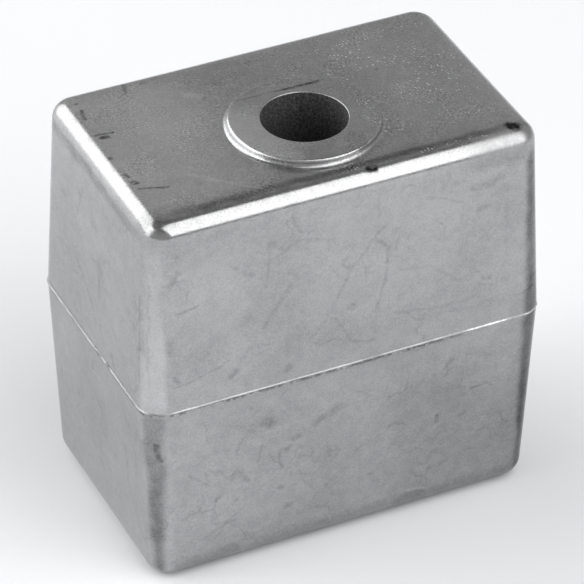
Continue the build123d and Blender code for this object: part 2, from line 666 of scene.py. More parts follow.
    def rows(self) -> tuple[np.ndarray, np.ndarray]:
        """All rows of the grid in order, with how much of the cast relief each row takes.

        Returns:
            Rows by points by x, y and z, and one weight from 0 to 1 a row.
        """
        s, counts, flash_span = self.sizes, self.counts, Flash().offsets[0]
        mouth = np.radians(np.linspace(0.0, 90.0, counts.mouth))[:-1]
        mouth_radius = s.hole_radius + s.mouth_radius * (1.0 - np.cos(mouth))
        upper_mouth = self.ring_rows(mouth_radius, s.seat_level - s.mouth_radius * (1.0 - np.sin(mouth)))
        lower_mouth = self.ring_rows(mouth_radius[::-1], s.mouth_radius * (1.0 - np.sin(mouth[::-1])))
        upper_rim = self.rim_rows(s.top_level, s.upper_rim_radius, counts.upper_rim)
        lower_rim = self.rim_rows(0.0, s.lower_rim_radius, counts.lower_rim)
        seat_edge = self.seat_edge_rows()
        highest, lowest = s.top_level - s.upper_rim_radius, s.lower_rim_radius
        upper_side = np.linspace(highest, s.parting_level + flash_span, counts.upper_side)[1:-1]
        lower_side = np.linspace(s.parting_level - flash_span, lowest, counts.lower_side)[1:-1]
        under_ring = self.ring_rows(np.array([s.hole_radius + s.mouth_radius]), np.array([0.0]))
        bore = np.linspace(s.mouth_radius, s.seat_level - s.mouth_radius, counts.bore)[1:-1]
        sections = [
            (upper_mouth, 0.0),
            (self.cut_shelf(np.concatenate([self.seat_rows(), seat_edge])), self.seat_relief),
            (self.flat_rows(seat_edge[-1:], upper_rim[-1:], counts.top), 1.0),
            (upper_rim[::-1], 1.0),
            (self.side_rows(upper_side), 1.0),
            (self.flash_rows(), 1.0),
            (self.side_rows(lower_side), 1.0),
            (lower_rim, 1.0),
            (self.flat_rows(lower_rim[-1:], under_ring, counts.underside), 0.0),
            (under_ring, 0.0),
            (lower_mouth, 0.0),
            (self.ring_rows(np.full(len(bore), s.hole_radius), bore), 0.0),
        ]
        grid = np.concatenate([rows for rows, _ in sections])
        weights = np.concatenate([np.full(len(rows), weight) for rows, weight in sections])
        return grid, weights

    def outward(self, grid: np.ndarray) -> np.ndarray:
        """Unit normals, from the cross product of the steps down the rows and round the points.

        Args:
            grid: rows by points by x, y and z.

        Returns:
            One unit vector for each point.
        """
        down = np.roll(grid, -1, axis=0) - np.roll(grid, 1, axis=0)
        along = np.roll(grid, -1, axis=1) - np.roll(grid, 1, axis=1)
        normal = np.cross(down, along)
        return normal / np.maximum(np.linalg.norm(normal, axis=-1, keepdims=True), TINY)

    def surface(self) -> np.ndarray:
        """The finished grid, kept inside the solid's box.

        Returns:
            Rows by points by x, y and z.
        """
        s = self.sizes
        grid, weights = self.rows()
        grid = grid + (weights[:, None] * Relief().at(grid))[..., None] * self.outward(grid)
        half = np.array([s.length / 2 + s.flash_reach, s.width / 2 + s.flash_reach])
        grid[..., :2] = np.clip(grid[..., :2], -half, half)
        grid[..., 2] = np.clip(grid[..., 2], 0.0, s.seat_level)
        return grid

    def build(self) -> bpy.types.Object:
        """Makes the casting's mesh from the grid, joined to itself both ways so that it has no open edge.

        Returns:
            The new object, at the origin, with its place in its mesh.
        """
        grid = self.surface()
        rows, points = grid.shape[:2]
        index = np.arange(rows * points).reshape(rows, points)
        below = np.roll(index, -1, axis=0)
        quads = np.stack([index, below, np.roll(below, -1, axis=1), np.roll(index, -1, axis=1)], axis=-1)
        quads = quads.reshape(-1, 4)
        mesh = bpy.data.meshes.new("anode_casting")
        mesh.vertices.add(rows * points)
        mesh.vertices.foreach_set("co", (grid * METRES).astype(np.float32).ravel())
        mesh.loops.add(quads.size)
        mesh.loops.foreach_set("vertex_index", quads.astype(np.int32).ravel())
        mesh.polygons.add(len(quads))
        mesh.polygons.foreach_set("loop_start", np.arange(0, quads.size, 4, dtype=np.int32))
        mesh.polygons.foreach_set("loop_total", np.full(len(quads), 4, dtype=np.int32))
        mesh.update(calc_edges=True)
        mesh.polygons.foreach_set("use_smooth", np.ones(len(quads), dtype=bool))
        for name, values in SurfaceMaps(self.sizes).layers(grid).items():
            layer = mesh.attributes.new(name, "FLOAT", "POINT")
            layer.data.foreach_set("value", values.astype(np.float32).ravel())
        casting = bpy.data.objects.new("anode_casting", mesh)
        bpy.context.scene.collection.objects.link(casting)
        log.info("anode_casting: %d by %d points, %d triangles", rows, points, 2 * len(quads))
        return casting


class Maths(Enum):
    """The sums that a finish works with."""

    ADD = "ADD"
    LESS = "SUBTRACT"
    TIMES = "MULTIPLY"
    LARGER = "MAXIMUM"


class VectorMaths(Enum):
    """The sums that a finish works with on vectors, each with the place of its answer."""

    ADD = ("ADD", 0)
    LESS = ("SUBTRACT", 0)
    TIMES = ("MULTIPLY", 0)
    ALONG = ("DOT_PRODUCT", 1)
    APART = ("DISTANCE", 1)


@dataclass(frozen=True)
class Patches:
    """A noise that comes and goes: its lumps a millimetre, its detail, and where its share rises to one."""

    scale: float
    detail: float
    rise: tuple[float, float]
    least: float = 0.0
    rough: float = 0.5


class NodeSheet:
    """Adds nodes to one tree of nodes and joins them."""

    def __init__(self, tree: bpy.types.NodeTree) -> None:
        """Empties the tree."""
        self.tree = tree
        self.tree.nodes.clear()

    def add(self, kind: str, **settings: Any) -> bpy.types.Node:
        """Adds one node and sets its properties by name.

        Args:
            kind: Blender's name for the node.
            settings: the node's properties by name.

        Returns:
            The node.
        """
        node = self.tree.nodes.new(kind)
        for name, value in settings.items():
            setattr(node, name, value)
        return node

    def feed(self, value: Any, socket: bpy.types.NodeSocket) -> None:
        """Joins a socket to another one, or sets it to a constant.

        Args:
            value: a socket or a constant.
            socket: the socket that takes it.
        """
        if isinstance(value, bpy.types.NodeSocket):
            self.tree.links.new(value, socket)
        else:
            socket.default_value = value

    def combine(self, kind: str, values: tuple[Any, ...], answer: int = 0, **settings: Any) -> Any:
        """Adds one node, feeds its first sockets in order and picks one of its answers.

        Args:
            kind: Blender's name for the node.
            values: sockets or constants, one for each of the first sockets.
            answer: which of the node's answers to return.
            settings: the node's properties by name.

        Returns:
            The answer.
        """
        node = self.add(kind, **settings)
        for number, value in enumerate(values):
            self.feed(value, node.inputs[number])
        return node.outputs[answer]

    def maths(self, kind: Maths, first: Any, second: Any) -> bpy.types.NodeSocket:
        """One sum of two sockets or numbers."""
        return self.combine("ShaderNodeMath", (first, second), operation=kind.value)

    def product(self, *values: Any) -> Any:
        """Several values multiplied together, in order.

        Args:
            values: sockets or numbers.

        Returns:
            The product.
        """
        total = values[0]
        for value in values[1:]:
            total = self.maths(Maths.TIMES, total, value)
        return total

    def vector(self, kind: VectorMaths, first: Any, second: Any) -> bpy.types.NodeSocket:
        """One sum of two vectors, whose answer is a vector or a value."""
        operation, answer = kind.value
        return self.combine("ShaderNodeVectorMath", (first, second), answer, operation=operation)

    def scaled(self, vector: Any, share: Any) -> bpy.types.NodeSocket:
        """A vector or colour times a value.

        Args:
            vector: a socket or a vector.
            share: a socket or a number.

        Returns:
            The scaled vector.
        """
        node = self.add("ShaderNodeVectorMath", operation="SCALE")
        self.feed(vector, node.inputs[0])
        self.feed(share, node.inputs["Scale"])
        return node.outputs[0]

    def blend(self, share: Any, first: Any, second: Any) -> bpy.types.NodeSocket:
        """The first value, giving way to the second as the share goes from 0 to 1.

        Args:
            share: how much of the second value is taken.
            first: the value at nought.
            second: the value at one.

        Returns:
            The blend.
        """
        node = self.add("ShaderNodeMix", data_type="FLOAT")
        for number, value in enumerate((share, first, second)):
            socket = [item for item in node.inputs if item.enabled][number]
            self.feed(value, socket)
        return node.outputs[0]

    def painted(self, name: str) -> bpy.types.NodeSocket:
        """One of the maps that the mesh carries."""
        return self.add("ShaderNodeAttribute", attribute_name=name).outputs["Fac"]

    def noise_node(self, where: Any, scale: float, detail: float, rough: float = 0.5) -> bpy.types.Node:
        """Smooth noise at a scale in lumps a millimetre.

        Args:
            where: position in millimetres.
            scale: lumps a millimetre.
            detail: how many finer noises are added.
            rough: how strong each finer noise is beside the one before.

        Returns:
            The noise's node.
        """
        node = self.add("ShaderNodeTexNoise")
        for name, value in (("Vector", where), ("Scale", scale), ("Detail", detail), ("Roughness", rough)):
            self.feed(value, node.inputs[name])
        return node

    def noise(self, where: Any, scale: float, detail: float, rough: float = 0.5) -> bpy.types.NodeSocket:
        """Smooth noise from 0 to 1."""
        return self.noise_node(where, scale, detail, rough).outputs["Fac"]

    def noise_colour(self, where: Any, scale: float, detail: float) -> bpy.types.NodeSocket:
        """Three smooth noises at once, each from 0 to 1."""
        return self.noise_node(where, scale, detail).outputs["Color"]

    def span(self, value: Any, low: Any, high: Any, to_low: float, to_high: float) -> bpy.types.NodeSocket:
        """Carries a value smoothly from the range low to high to the range to_low to to_high, held there."""
        ends = (value, low, high, to_low, to_high)
        return self.combine("ShaderNodeMapRange", ends, interpolation_type="SMOOTHSTEP")

    def swing(self, noise: Any, shift: float, reach: float = 0.2) -> bpy.types.NodeSocket:
        """Carries a noise round a half to a range from minus the shift to plus the shift."""
        return self.span(noise, 0.5 - reach, 0.5 + reach, -shift, shift)

    def patches(self, where: Any, kind: Patches) -> bpy.types.NodeSocket:
        """A share that climbs from the least to one where its noise passes through the rise."""
        noise = self.noise(where, kind.scale, kind.detail, kind.rough)
        return self.span(noise, *kind.rise, kind.least, 1.0)


def new_finish(name: str) -> tuple[bpy.types.Material, NodeSheet, bpy.types.Node]:
    """A new material with one plain shader, with its nodes and that shader.

    Args:
        name: the finish's name.

    Returns:
        The material, its nodes and its shader.
    """
    material = bpy.data.materials.new(name)
    material.use_nodes = True
    sheet = NodeSheet(material.node_tree)
    shader = sheet.add("ShaderNodeBsdfPrincipled")
    sheet.feed(shader.outputs[0], sheet.add("ShaderNodeOutputMaterial").inputs[0])
    return material, sheet, shader


class Side(Enum):
    """The sides that carry placed marks: the axes that place a mark, and the test that finds the side."""

    TOP = ((1.0, 1.0, 0.0), (0.0, 0.0, 1.0), 65.6)
    FRONT = ((1.0, 0.0, 1.0), (0.0, -1.0, 0.0), 17.6)
    LEFT = ((0.0, 1.0, 1.0), (-1.0, 0.0, 0.0), 30.6)

    @property
    def keep(self) -> tuple[float, float, float]:
        """Which axes place a mark on this side."""
        return self.value[0]

    @property
    def outward(self) -> tuple[float, float, float]:
        """The direction that this side faces."""
        return self.value[1]

    @property
    def reach(self) -> float:
        """How far out along that direction this side begins."""
        return self.value[2]

    def point(self, across: float, up: float) -> Vector:
        """A mark's two coordinates as a point in space, with the third one left at nought."""
        spots = {Side.TOP: (across, up, 0.0), Side.FRONT: (across, 0.0, up), Side.LEFT: (0.0, across, up)}
        return Vector(spots[self])


@dataclass(frozen=True)
class Mark:
    """A scratch, a smear or a spot: its path in millimetres, its half width and its shift."""

    path: tuple[tuple[float, float], ...]
    half_width: float
    shift: float


# The marks on each side. A path gives x and y on the top, x and z on the front and y and z on the left.
MARKS = {
    Side.TOP: {
        "scratch_near_left_end": Mark(((-29.4, 6.7), (-26.6, 6.5)), 0.28, -0.8),
        "blot_under_that_scratch": Mark(((-28.9, 5.7), (-28.0, 5.6)), 0.5, -1.0),
        "tick_at_far_left": Mark(((-28.7, 13.9), (-28.8, 11.6)), 0.35, -0.85),
        "dot_at_far_left_corner": Mark(((-28.7, 15.8),), 0.4, -0.7),
        "dot_behind_the_left_rim": Mark(((-29.7, 0.4),), 0.4, -0.9),
        "stroke_by_left_rim_1": Mark(((-29.5, -4.1), (-29.2, -5.0)), 0.3, -0.8),
        "stroke_by_left_rim_2": Mark(((-29.2, -6.3), (-28.7, -7.0)), 0.35, -0.85),
        "long_scratch_by_near_corner": Mark(((-29.0, -8.7), (-27.7, -9.0), (-25.0, -9.8)), 0.24, -0.85),
        "smudge_on_near_left": Mark(((-20.4, -11.0),), 0.7, -0.25),
        "pale_swirl": Mark(((-20.8, -8.5), (-19.0, -9.9), (-17.4, -11.8), (-12.7, -15.6)), 0.4, 0.16),
        "pale_fleck_by_far_edge": Mark(((-12.5, 11.3), (-10.9, 9.7)), 0.8, 0.2),
        "dark_fleck_by_far_edge": Mark(((-10.8, 8.8), (-10.4, 9.4)), 0.35, -0.3),
        "streak_by_far_edge": Mark(((-20.1, 17.8), (-20.9, 15.5)), 0.3, -0.5),
        "fleck_by_far_edge_1": Mark(((-17.5, 17.2), (-16.9, 17.2)), 0.35, -0.35),
        "fleck_by_far_edge_2": Mark(((-15.3, 17.3), (-14.7, 17.3)), 0.35, -0.35),
        "dot_right_of_the_seat": Mark(((16.8, 5.7),), 0.4, -0.35),
        "black_smudge_by_right_rim": Mark(((28.0, -16.6), (28.7, -17.0)), 0.85, -1.2),
        "nick_behind_the_front_rim": Mark(((3.8, -17.9), (4.8, -18.1)), 0.5, -1.0),
        # Painted shade along the step at the back of the seat.
        "seat_step_line": Mark(((-6.2, 5.3), (0.1, 4.9), (6.2, 4.8)), 0.4, -0.6),
    },
    Side.FRONT: {
        "flow_line_1": Mark(((-14.0, 51.5), (-13.1, 55.9), (-8.2, 58.4), (-2.5, 56.5)), 0.32, -0.1),
        "flow_line_2": Mark(((-3.2, 44.0), (0.0, 50.5), (5.7, 56.8)), 0.3, -0.12),
        "flow_line_3": Mark(((4.7, 42.4), (5.9, 47.4), (6.4, 52.4), (4.6, 54.6)), 0.35, -0.16),
        "flow_line_4": Mark(((8.5, 48.0), (13.3, 47.5), (18.3, 43.2), (21.6, 43.8)), 0.3, -0.08),
        "flow_line_5": Mark(((12.8, 59.7), (15.9, 58.9), (18.7, 57.3)), 0.28, -0.12),
        "scratch_right_of_corner": Mark(((-28.5, 51.2), (-24.9, 51.6)), 0.24, -0.22),
        "spot_over_the_line_1": Mark(((-10.4, 35.6), (-10.1, 35.9)), 0.75, -0.2),
        "slanting_smear": Mark(((-19.8, 37.0), (-18.5, 37.9)), 0.45, -0.22),
        "dot_low_on_upper_half": Mark(((-17.3, 46.5), (-16.8, 46.9)), 0.8, -0.1),
        "round_stain_1": Mark(((-10.0, 39.7),), 1.8, -0.06),
        "round_spot_2": Mark(((0.0, 43.6), (0.5, 43.6)), 0.6, -0.14),
        "spot_high_on_the_left": Mark(((-13.2, 58.8), (-12.6, 58.7)), 0.7, -0.16),
        "line_under_that_spot": Mark(((-13.0, 55.9), (-13.4, 58.6)), 0.28, -0.08),
        "long_flow_line_low": Mark(((-2.3, 42.5), (-1.0, 39.8), (0.3, 37.3), (4.2, 36.6)), 0.28, -0.12),
        "flow_line_low_right": Mark(((10.0, 40.2), (15.2, 39.0), (19.4, 39.2), (22.0, 39.3)), 0.26, -0.09),
        "forked_line": Mark(((21.1, 41.8), (24.5, 40.4), (26.2, 44.2)), 0.28, -0.1),
        "line_at_left_low": Mark(((-29.0, 37.8), (-25.5, 38.4), (-20.0, 39.9)), 0.26, -0.12),
        "flecks_by_corner_1": Mark(((-28.8, 39.6), (-28.1, 38.6)), 0.4, -0.18),
        "flecks_by_corner_2": Mark(((-29.2, 56.0), (-28.8, 57.5)), 0.6, -0.12),
        "flecks_by_corner_3": Mark(((-29.4, 45.8), (-29.2, 43.9)), 0.5, -0.12),
        "line_mid_left": Mark(((-14.2, 44.5), (-11.9, 48.0), (-9.8, 50.4)), 0.5, -0.1),
        "large_spot_under_line": Mark(((-14.0, 26.4), (-13.2, 26.1)), 1.0, -0.26),
        "spot_low_1": Mark(((-5.3, 23.4), (-4.3, 24.2)), 0.6, -0.2),
        "hatched_spot": Mark(((-2.9, 24.7), (-1.5, 25.6)), 0.85, -0.2),
        "spot_low_2": Mark(((-9.0, 21.6), (-8.2, 22.1)), 0.55, -0.22),
        "spot_low_3": Mark(((-10.2, 20.0), (-9.6, 20.3)), 0.6, -0.18),
        "dot_under_the_line": Mark(((-16.3, 29.9),), 0.35, -0.16),
        "dot_low_left_1": Mark(((-22.0, 13.9), (-21.4, 14.2)), 0.45, -0.2),
        "dot_low_left_2": Mark(((-18.8, 12.6),), 0.45, -0.2),
        "dot_low_mid_1": Mark(((-11.3, 12.4), (-10.8, 12.8)), 0.45, -0.2),
        "dot_low_mid_2": Mark(((-3.3, 10.6),), 0.45, -0.18),
        "dot_low_mid_3": Mark(((-9.9, 8.3), (-9.2, 8.5)), 0.5, -0.2),
        "pair_of_dots_right": Mark(((14.7, 26.3),), 0.35, -0.15),
        "fleck_low_right": Mark(((19.5, 16.6), (20.4, 17.0)), 0.4, -0.14),
        "fleck_low_mid": Mark(((4.1, 9.9),), 0.45, -0.16),
        "fleck_by_the_foot": Mark(((16.4, 8.1), (17.4, 8.5)), 0.4, -0.14),
        "forked_smudge": Mark(((-19.6, 17.4), (-18.5, 18.1), (-16.9, 15.9)), 0.6, -0.16),
        "curl_1": Mark(((-11.3, 20.2), (-11.5, 17.8), (-10.7, 16.4)), 0.3, -0.16),
        "curl_2": Mark(((-15.3, 19.0), (-15.1, 20.6), (-14.5, 22.1)), 0.3, -0.14),
        "curl_3": Mark(((-26.5, 20.0), (-23.6, 17.7)), 0.3, -0.1),
        "curl_4": Mark(((-24.3, 6.6), (-21.5, 8.2), (-18.9, 8.8)), 0.3, -0.12),
        "tick_on_lower_right": Mark(((15.3, 16.8), (15.5, 17.9)), 0.4, -0.3),
        "arc_on_lower_right": Mark(((21.4, 21.4), (22.7, 21.6), (23.8, 21.8), (24.7, 21.1)), 0.3, -0.18),
        "stroke_under_line_right": Mark(((16.4, 27.1), (17.7, 28.3)), 0.3, -0.14),
        "pale_scratch_by_foot": Mark(((10.4, 4.4), (13.9, 3.8)), 0.18, 0.14),
        "shade_under_that_scratch": Mark(((10.4, 3.8), (13.5, 3.3)), 0.3, -0.11),
        "smear_high_on_the_right": Mark(((20.4, 59.3), (23.0, 59.4), (25.4, 59.9)), 0.7, -0.14),
        "spot_by_that_smear": Mark(((25.8, 57.7), (26.2, 57.7)), 0.9, -0.09),
        "small_smear_on_the_right": Mark(((21.5, 55.0), (23.0, 55.3)), 0.45, -0.14),
        "dull_streak_by_right_corner": Mark(((26.6, 54.0), (26.9, 48.0)), 1.3, -0.07),
        "dot_high_on_the_right": Mark(((14.9, 54.6),), 0.28, -0.35),
        "slot_on_the_corner": Mark(((-31.7, 27.6), (-31.1, 24.4)), 0.36, -0.3),
    },
    Side.LEFT: {
        "left_scratch_1": Mark(((7.2, 45.8), (5.2, 44.2), (2.4, 41.9), (-0.4, 39.5)), 0.26, -0.15),
        "left_scratch_2": Mark(((-1.2, 47.1), (-2.4, 45.1)), 0.28, -0.14),
        "left_scratch_3": Mark(((-7.0, 36.2), (-8.6, 34.4)), 0.45, -0.2),
        "left_scratch_4": Mark(((4.9, 58.6), (5.9, 55.9), (6.7, 53.0)), 0.3, -0.15),
        "left_pale_scratch_1": Mark(((1.0, 27.7), (-2.2, 28.4)), 0.35, 0.12),
        "left_pale_scratch_2": Mark(((-4.1, 14.6), (-6.3, 13.9)), 0.22, 0.16),
        "left_curve": Mark(((-11.3, 18.9), (-11.1, 14.8), (-13.2, 10.4)), 0.4, -0.1),
        "left_smudge_1": Mark(((0.0, 10.6), (-1.4, 9.6)), 0.6, -0.12),
        "left_smudge_2": Mark(((-11.0, 28.5), (-12.4, 26.8)), 0.7, -0.1),
        "left_streak_by_corner_1": Mark(((-16.5, 53.5), (-17.3, 38.0)), 0.22, -0.14),
        "left_streak_by_corner_2": Mark(((-18.3, 56.0), (-19.2, 38.0)), 0.2, -0.12),
        "nick_in_the_left_line_1": Mark(((-0.4, 33.1), (-0.9, 33.2)), 0.3, -0.4),
        "nick_in_the_left_line_2": Mark(((-2.2, 33.2), (-3.2, 33.3)), 0.3, -0.5),
        "nick_in_the_left_line_3": Mark(((-5.2, 33.6), (-6.4, 33.4)), 0.34, -0.55),
        "left_slanting_line": Mark(((17.3, 30.2), (9.5, 28.6)), 0.3, -0.08),
    },
}


@dataclass(frozen=True)
class CastZinc:
    """Dull satin zinc as it leaves the mould, with its stains, scratches and specks, and painted light and
    shade.

    A noise is given by its lumps a millimetre, its detail and, where it isn't a half, its roughness.
    """

    colour: tuple[float, float, float] = (0.410, 0.411, 0.415)
    roughness: float = 0.22
    cloud_noise: tuple[float, float] = (0.07, 3.0)
    cloud_shift: float = 0.07
    mottle_noise: tuple[float, float, float] = (0.5, 4.0, 0.6)
    mottle_shift: float = 0.05
    grain_noise: tuple[float, float, float] = (3.2, 3.0, 0.7)
    grain_shift: float = 0.10
    grain_depth: float = 0.004
    top_patches: Patches = Patches(0.15, 3.0, (0.42, 0.66), 0.15)
    top_grain_shift: float = 0.26
    top_grain_reach: float = 0.15
    haze_noise: tuple[float, float, float] = (0.9, 5.0, 0.7)
    haze_rise: tuple[float, float] = (0.3, 0.7)
    haze: float = 0.05
    bore_rise: tuple[float, float] = (0.35, 0.75)
    # Painted shade in the bore: its tones, as shares of the plain colour.
    bore_painted_shade_tones: tuple[float, float] = (0.18, 0.648)
    bore_roughness: float = 0.75
    least_tone: float = 0.08
    wobble_noise: tuple[float, float] = (0.3, 3.0)
    mark_wobble: float = 0.8
    mark_breaks: Patches = Patches(1.6, 2.0, (0.35, 0.6), 0.45)
    mark_strength: float = 1.15
    mark_spread: float = 1.5
    mark_core: float = 6.0
    gate_depth: float = 0.3
    scribble_scale: float = 0.13
    scribble_width: tuple[float, float] = (0.045, 0.008)
    scribble_breaks: Patches = Patches(0.22, 3.0, (0.5, 0.62))
    scribble_shift: float = 0.12
    bend_noise: tuple[float, float] = (0.16, 3.0)
    bend_reach: float = 9.0
    speck_scale: float = 1.9
    speck_width: tuple[float, float] = (0.34, 0.14)
    speck_pick: tuple[float, float] = (0.45, 0.8)
    speck_clusters: Patches = Patches(0.22, 3.0, (0.4, 0.62), 0.15)
    # Painted glint on each speck: how much lighter it is.
    speck_painted_glint: float = 2.3
    speck_height: float = 8.0
    flash_shift: float = -0.1
    flash_roughness: float = 0.42
    # Painted highlight on the beads of flash to the right.
    bead_painted_highlight: float = 0.7
    mouth_shift: float = -0.1
    mouth_roughness: float = 0.4
    # Painted shadow under the bead of flash: its patches and how much darker it is.
    under_flash_shadow_patches: Patches = Patches(0.5, 5.0, (0.46, 0.56), rough=0.7)
    under_flash_shadow_shift: float = 0.62

    def near_stroke(self) -> bpy.types.NodeTree:
        """Makes the rule for one stroke, which every mark uses.

        The nearest place on the stroke lies at the share of its length that the point reaches along it,
        held from nought to one. The answer rises smoothly from nought at the stroke's half width to one
        near its middle.

        Returns:
            The node group.
        """
        group = bpy.data.node_groups.new("near_stroke", "ShaderNodeTree")
        sheet = NodeSheet(group)
        for name, kind in (("Place", "Vector"), ("Start", "Vector"), ("Run", "Vector"), ("Gain", "Vector"),
                           ("Half width", "Float"), ("Core", "Float")):
            group.interface.new_socket(name, in_out="INPUT", socket_type="NodeSocket" + kind)
        group.interface.new_socket("Share", in_out="OUTPUT", socket_type="NodeSocketFloat")
        inputs = sheet.add("NodeGroupInput").outputs
        from_start = sheet.vector(VectorMaths.LESS, inputs["Place"], inputs["Start"])
        along = sheet.vector(VectorMaths.ALONG, from_start, inputs["Gain"])
        clamp = sheet.add("ShaderNodeClamp")
        sheet.feed(along, clamp.inputs["Value"])
        nearest = sheet.scaled(inputs["Run"], clamp.outputs[0])
        gap = sheet.vector(VectorMaths.APART, from_start, nearest)
        share = sheet.span(gap, inputs["Half width"], inputs["Core"], 0.0, 1.0)
        sheet.feed(share, sheet.add("NodeGroupOutput").inputs["Share"])
        return group

    def stroke(
        self, sheet: NodeSheet, rule: bpy.types.NodeTree, place: Any, ends: list[Vector], mark: Mark
    ) -> bpy.types.NodeSocket:
        """How strongly one straight stretch of a mark shifts a point.

        Args:
            sheet: the material's nodes.
            rule: the rule for one stroke.
            place: position on the mark's side, in millimetres.
            ends: where the stretch starts and ends, or the one place of a dot.
            mark: the mark that it belongs to.

        Returns:
            The shift's size.
        """
        run = ends[-1] - ends[0]
        half_width = mark.half_width * self.mark_spread
        node = sheet.add("ShaderNodeGroup", node_tree=rule)
        for name, value in (("Place", place), ("Start", ends[0]), ("Run", run),
                            ("Gain", run / max(run.length_squared, TINY)),
                            ("Half width", half_width), ("Core", half_width / self.mark_core)):
            sheet.feed(value, node.inputs[name])
        return sheet.product(node.outputs["Share"], abs(mark.shift))

    def marks(self, sheet: NodeSheet, where: Any) -> list[Any]:
        """All placed marks, each side's own gated by how far out a point lies.

        Args:
            sheet: the material's nodes.
            where: position in millimetres.

        Returns:
            How much darker and how much lighter the marks make a point.
        """
        rule = self.near_stroke()
        wander = sheet.noise_colour(where, *self.wobble_noise)
        centred = sheet.vector(VectorMaths.LESS, wander, (0.5, 0.5, 0.5))
        wobbled = sheet.vector(VectorMaths.ADD, where, sheet.scaled(centred, 2.0 * self.mark_wobble))
        totals = [0.0, 0.0]
        for side in Side:
            out = sheet.vector(VectorMaths.ALONG, where, side.outward)
            gate = sheet.span(out, side.reach - self.gate_depth, side.reach, 0.0, 1.0)
            place = sheet.vector(VectorMaths.TIMES, wobbled, side.keep)
            for number, darker in enumerate((True, False)):
                total = 0.0
                for mark in (m for m in MARKS[side].values() if (m.shift < 0.0) is darker):
                    points = [side.point(*spot) for spot in mark.path]
                    for step in range(max(1, len(points) - 1)):
                        stroke = self.stroke(sheet, rule, place, points[step:step + 2], mark)
                        total = sheet.maths(Maths.LARGER, total, stroke)
                totals[number] = sheet.maths(Maths.ADD, totals[number], sheet.product(total, gate))
        return totals

    def scribbles(self, sheet: NodeSheet, where: Any) -> Any:
        """Faint wandering flow lines: the edges of stretched and bent cells, broken up by noise.

        Args:
            sheet: the material's nodes.
            where: position in millimetres.

        Returns:
            How much of a line a point lies on, from 0 to 1.
        """
        bend = sheet.scaled(sheet.noise_colour(where, *self.bend_noise), self.bend_reach)
        cells = sheet.add("ShaderNodeTexVoronoi", feature="DISTANCE_TO_EDGE")
        sheet.feed(sheet.vector(VectorMaths.ADD, where, bend), cells.inputs["Vector"])
        sheet.feed(self.scribble_scale, cells.inputs["Scale"])
        line = sheet.span(cells.outputs["Distance"], *self.scribble_width, 0.0, 1.0)
        off_rim = sheet.maths(Maths.LESS, 1.0, sheet.painted("rim"))
        return sheet.product(line, sheet.patches(where, self.scribble_breaks), off_rim)

    def specks(self, sheet: NodeSheet, where: Any) -> Any:
        """Small bright specks that gather in clusters: the middles of a few cells picked at random.

        Args:
            sheet: the material's nodes.
            where: position in millimetres.

        Returns:
            How much of a speck a point lies on, from 0 to about 1.
        """
        cells = sheet.add("ShaderNodeTexVoronoi", feature="F1")
        sheet.feed(where, cells.inputs["Vector"])
        sheet.feed(self.speck_scale, cells.inputs["Scale"])
        near = sheet.span(cells.outputs["Distance"], *self.speck_width, 0.0, 1.0)
        split = sheet.add("ShaderNodeSeparateColor")
        sheet.feed(cells.outputs["Color"], split.inputs[0])
        picked = sheet.span(split.outputs[0], *self.speck_pick, 0.0, 1.0)
        cluster = sheet.patches(where, self.speck_clusters)
        return sheet.product(near, picked, cluster, sheet.painted("speckled"))

    def tone(self, sheet: NodeSheet, where: Any, mottle: Any, grain: Any, specks: Any) -> Any:
        """The share of the plain colour that a point takes.

        Noise of three sizes, the stains and painted light and shade, the scribbles, the marks, the specks and
        their painted glints, the bead of flash with a painted highlight on its beads to the right, and the
        painted shadow under that bead are added to one. The bore takes its own low tone instead, a painted
        shade, spotted by the grain.

        Args:
            sheet: the material's nodes.
            where: position in millimetres.
            mottle: middling noise.
            grain: fine noise.
            specks: the share that bright specks take.

        Returns:
            The share.
        """
        darker, lighter = self.marks(sheet, where)
        broken = sheet.patches(where, self.mark_breaks)
        under_flash_shadow_share = sheet.patches(where, self.under_flash_shadow_patches)
        patchy = sheet.patches(where, self.top_patches)
        top_grain = sheet.swing(grain, self.top_grain_shift, self.top_grain_reach)
        gains = [
            sheet.swing(sheet.noise(where, *self.cloud_noise), self.cloud_shift),
            sheet.swing(mottle, self.mottle_shift),
            sheet.swing(grain, self.grain_shift),
            sheet.product(sheet.painted("top"), patchy, top_grain),
            # Stains and painted light and shade, read from the mesh.
            sheet.painted("stain"),
            sheet.product(self.scribbles(sheet, where), -self.scribble_shift),
            sheet.product(darker, broken, -self.mark_strength),
            lighter,
            # Specks: real bumps, each with a painted glint.
            sheet.product(specks, self.speck_painted_glint),
            sheet.product(sheet.painted("flash"), self.flash_shift),
            # Painted highlight on the beads of flash to the right.
            sheet.product(sheet.painted("beaded"), broken, self.bead_painted_highlight),
            sheet.product(sheet.painted("mouth"), self.mouth_shift),
            # Painted shadow under the bead of flash, broken into patches.
            sheet.product(sheet.painted("pitted"), under_flash_shadow_share, -self.under_flash_shadow_shift),
        ]
        total = 1.0
        for gain in gains:
            total = sheet.maths(Maths.ADD, total, gain)
        # Painted shade in the bore.
        bore_tone = sheet.span(grain, *self.bore_rise, *self.bore_painted_shade_tones)
        held = sheet.maths(Maths.LARGER, total, self.least_tone)
        return sheet.blend(sheet.painted("bore"), held, bore_tone)

